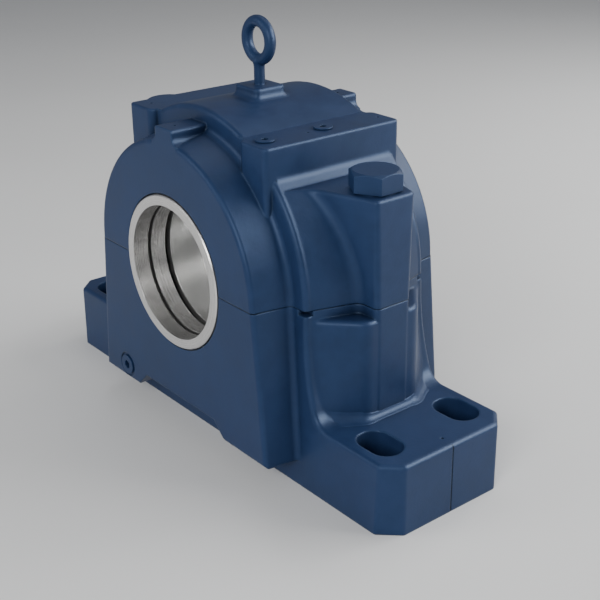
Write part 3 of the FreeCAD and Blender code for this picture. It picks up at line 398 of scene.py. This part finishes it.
def add_piece(name, shape, finish):
    """The finished shape as an object of the scene."""
    mesh = bpy.data.meshes.new(name)
    shape.to_mesh(mesh)
    shape.free()
    mesh.materials.append(finish)
    piece = bpy.data.objects.new(name, mesh)
    bpy.context.scene.collection.objects.link(piece)
    return piece


# Coves where each shoulder and bolt column runs down into its foot


def soft_step(value, start, stop):
    """0 at start and 1 at stop, with soft ends."""
    share = min(max((value - start) / (stop - start), 0.0), 1.0)
    return share * share * (3.0 - 2.0 * share)


def shoulder_reach(across, slope):
    """How far the shoulder reaches along X at a distance across it, with flanks of this slope."""
    turned = math.radians(90.0 - slope)
    corner_width = SHOULDER_SOFT * math.sin(turned)
    out = abs(across) - SHOULDER_HALF
    if out < 0.0:
        return SHOULDER_END
    if out < corner_width:
        return SHOULDER_END - SHOULDER_SOFT + math.sqrt(SHOULDER_SOFT ** 2 - out ** 2)
    corner = SHOULDER_END - SHOULDER_SOFT * (1.0 - math.cos(turned))
    return corner - (out - corner_width) * math.tan(turned)


def wall_reach(across, height):
    """The shoulder's or the column's reach at a height above the foot."""
    share = (height - SKIRT_LOW) / (SKIRT_TOP - SKIRT_LOW)
    low = shoulder_reach(across, FLANK_SLOPE_LOW)
    high = shoulder_reach(across, FLANK_SLOPE_HIGH) - SKIRT_INSET
    proud = (COLUMN_END - SHOULDER_END) * (1.0 - soft_step(abs(across), COLUMN_HALF, COLUMN_FADE))
    return low + (high - low) * share + proud


def cove_radius(across):
    """The cove opens out from the column to the shoulder's rim."""
    flank = soft_step(abs(across), COLUMN_HALF, COVE_FLANK_AT)
    rim = soft_step(abs(across), COVE_RIM_FROM, SHOULDER_RIM)
    return COVE_COLUMN + (COVE_FLANK - COVE_COLUMN) * flank + (COVE_RIM - COVE_FLANK) * rim


def cove_point(along, up):
    """A point of the cove: along the wall from rim to rim and up from the foot, both -0.5 to 0.5."""
    across = SHOULDER_RIM * 2.0 * along
    radius = cove_radius(across)
    share = (up + 0.5) * (1.0 + 2.0 * COVE_BORDER) - COVE_BORDER
    turn = math.radians(90.0) * min(max(share, 0.0), 1.0)
    buried = COVE_BURIED * max(0.0, abs(up) - (0.5 - COVE_BORDER)) / COVE_BORDER
    height = FOOT_TOP + radius * (1.0 - math.cos(turn)) + (buried if up > 0.0 else -buried)
    stand = radius * (1.0 - math.sin(turn)) - (buried if up > 0.0 else 0.0)
    step = 0.0004
    slant = (wall_reach(across + step, height) - wall_reach(across - step, height)) / (2.0 * step)
    steepness = math.hypot(1.0, slant)
    reach = wall_reach(across, height) + stand / steepness
    return Vector((reach, across - stand * slant / steepness, height))


def add_foot_cove(name, side):
    """The cast hollow between the foot and the wall above, closed inside the casting."""
    shape = bmesh.new()
    bmesh.ops.create_grid(shape, x_segments=150, y_segments=18, size=0.5)
    for vertex in shape.verts:
        place = cove_point(vertex.co.x, vertex.co.y)
        vertex.co = Vector((place.x * side, place.y, place.z))
    bmesh.ops.recalc_face_normals(shape, faces=shape.faces)
    if sum(face.normal.z for face in shape.faces) < 0.0:
        bmesh.ops.reverse_faces(shape, faces=shape.faces)
    bmesh.ops.solidify(shape, geom=shape.faces, thickness=COVE_WALL)
    piece = add_piece(name, shape, finishes["cast_paint"])
    soften(piece.data)
    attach(piece, "housing")


add_foot_cove("foot_cove_right", 1.0)
add_foot_cove("foot_cove_left", -1.0)


# Lifting eye


def spin_full(shape, geometry, axis, steps):
    """Turn a profile right round an axis through the origin."""
    bmesh.ops.spin(
        shape, geom=geometry, axis=axis, cent=(0.0, 0.0, 0.0),
        angle=math.tau, steps=steps, use_merge=True,
    )


def form_ring(shape):
    """The forged ring, upright, with the shaft's direction through its hole."""
    wire = bmesh.ops.create_circle(shape, segments=40, radius=EYE_WIRE)
    bmesh.ops.translate(shape, verts=wire["verts"], vec=(EYE_RING, 0.0, 0.0))
    spin_full(shape, shape.verts[:] + shape.edges[:], (0.0, 1.0, 0.0), 120)
    bmesh.ops.translate(shape, verts=shape.verts, vec=(0.0, 0.0, EYE_HEIGHT))


def form_stem(shape):
    """The thread in the cap, the stem above the pad, and the neck that swells into the ring."""
    thread_end = EYE_SEAT - THREAD_DEPTH
    ring_low = EYE_HEIGHT - EYE_RING
    outline = [
        (0.0, thread_end),
        (THREAD_RADIUS, thread_end),
        (THREAD_RADIUS, EYE_SEAT - 0.0004),
        (EYE_STEM, EYE_SEAT + 0.0002),
        (EYE_STEM, ring_low - 0.0080),
        (EYE_SWELL, ring_low - 0.0050),
        (EYE_NECK, ring_low - 0.0025),
        (EYE_NECK, ring_low - 0.0005),
        (0.0, ring_low + 0.0010),
    ]
    corners = [shape.verts.new((radius, 0.0, height)) for radius, height in outline]
    sides = [shape.edges.new(pair) for pair in zip(corners, corners[1:])]
    spin_full(shape, corners + sides, (0.0, 0.0, 1.0), 64)


def weld(piece):
    """Join the piece's forms into one skin and soften the joints between them."""
    welded = piece.modifiers.new("welded", "REMESH")
    welded.mode = "VOXEL"
    welded.voxel_size = 0.0006
    soft = piece.modifiers.new("soft", "SMOOTH")
    soft.factor = 0.5
    soft.iterations = 8
    shown = piece.evaluated_get(bpy.context.evaluated_depsgraph_get())
    mesh = bpy.data.meshes.new_from_object(shown)
    piece.modifiers.clear()
    piece.data = mesh
    soften(mesh)


def add_lifting_eye():
    """A forged ring that runs into its stem, screwed into the pad on the cap."""
    shape = bmesh.new()
    form_ring(shape)
    form_stem(shape)
    bmesh.ops.remove_doubles(shape, verts=shape.verts, dist=0.00001)
    bmesh.ops.recalc_face_normals(shape, faces=shape.faces)
    piece = add_piece("lifting_eye", shape, finishes["fastener_paint"])
    weld(piece)
    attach(piece, "housing")
    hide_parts("eye_bolt")


add_lifting_eye()


# Studio


def add_floor():
    """A plain pale floor that runs on past every view."""
    shape = bmesh.new()
    bmesh.ops.create_grid(shape, x_segments=1, y_segments=1, size=FLOOR_REACH)
    floor = add_piece("studio_floor", shape, studio_floor())


def add_lamp(name, place, size, power, target=(0.0, 0.0, 0.2), sheen_only=False):
    """A soft lamp that faces its target. A sheen lamp shows only in the surfaces' shine."""
    data = bpy.data.lights.new(name, "AREA")
    data.shape = "RECTANGLE"
    data.size, data.size_y = size
    data.energy = power
    lamp = bpy.data.objects.new(name, data)
    place = Vector(place)
    turn = (Vector(target) - place).to_track_quat("-Z", "Y").to_matrix().to_4x4()
    lamp.matrix_world = Matrix.Translation(place) @ turn
    lamp.visible_diffuse = not sheen_only
    bpy.context.scene.collection.objects.link(lamp)


def add_world():
    """Faint cool light from all round."""
    world = bpy.data.worlds.new("studio")
    world.use_nodes = True
    sky = world.node_tree.nodes["Background"]
    sky.inputs["Color"].default_value = SKY
    sky.inputs["Strength"].default_value = SKY_STRENGTH
    bpy.context.scene.world = world


def add_camera():
    """The photograph's viewpoint: turned round the object, raised, and a hair off level."""
    around = math.radians(49.99)
    raised = math.radians(23.07)
    roll = math.radians(-0.17)
    back = Vector((
        math.sin(around) * math.cos(raised),
        -math.cos(around) * math.cos(raised),
        math.sin(raised),
    ))
    level = Vector((math.cos(around), math.sin(around), 0.0))
    upright = back.cross(level)
    right = level * math.cos(roll) + upright * math.sin(roll)
    up = upright * math.cos(roll) - level * math.sin(roll)
    data = bpy.data.cameras.new("viewpoint")
    data.sensor_width = 36.0
    data.lens = FOCAL_PIXELS * data.sensor_width / IMAGE_WIDTH
    data.shift_x, data.shift_y = (pixels / IMAGE_WIDTH for pixels in SHIFT_PIXELS)
    data.clip_end = 20.0
    camera = bpy.data.objects.new("viewpoint", data)
    spin = Matrix((right, up, back)).transposed().to_4x4()
    camera.matrix_world = Matrix.Translation(CAMERA_PLACE) @ spin
    bpy.context.scene.collection.objects.link(camera)
    bpy.context.scene.camera = camera


add_floor()
add_world()
add_lamp("key", place=(1.2, -1.85, 1.25), size=(1.2, 1.0), power=36)
add_lamp("front", place=(-0.9, -1.8, 1.1), size=(1.2, 1.0), power=12)
add_lamp("side", place=(1.2, 1.45, 1.1), size=(1.5, 1.3), power=26)
add_lamp("sheen", place=(1.35, 1.1, 1.15), size=(1.3, 1.4), power=60, sheen_only=True)
add_lamp("top", place=(-0.4, 0.6, 2.2), size=(1.4, 1.0), power=7)
add_lamp("rear", place=(0.2, 1.8, 1.2), size=(1.3, 0.9), power=16, target=(0.1, 0.75, 0.0))
add_camera()
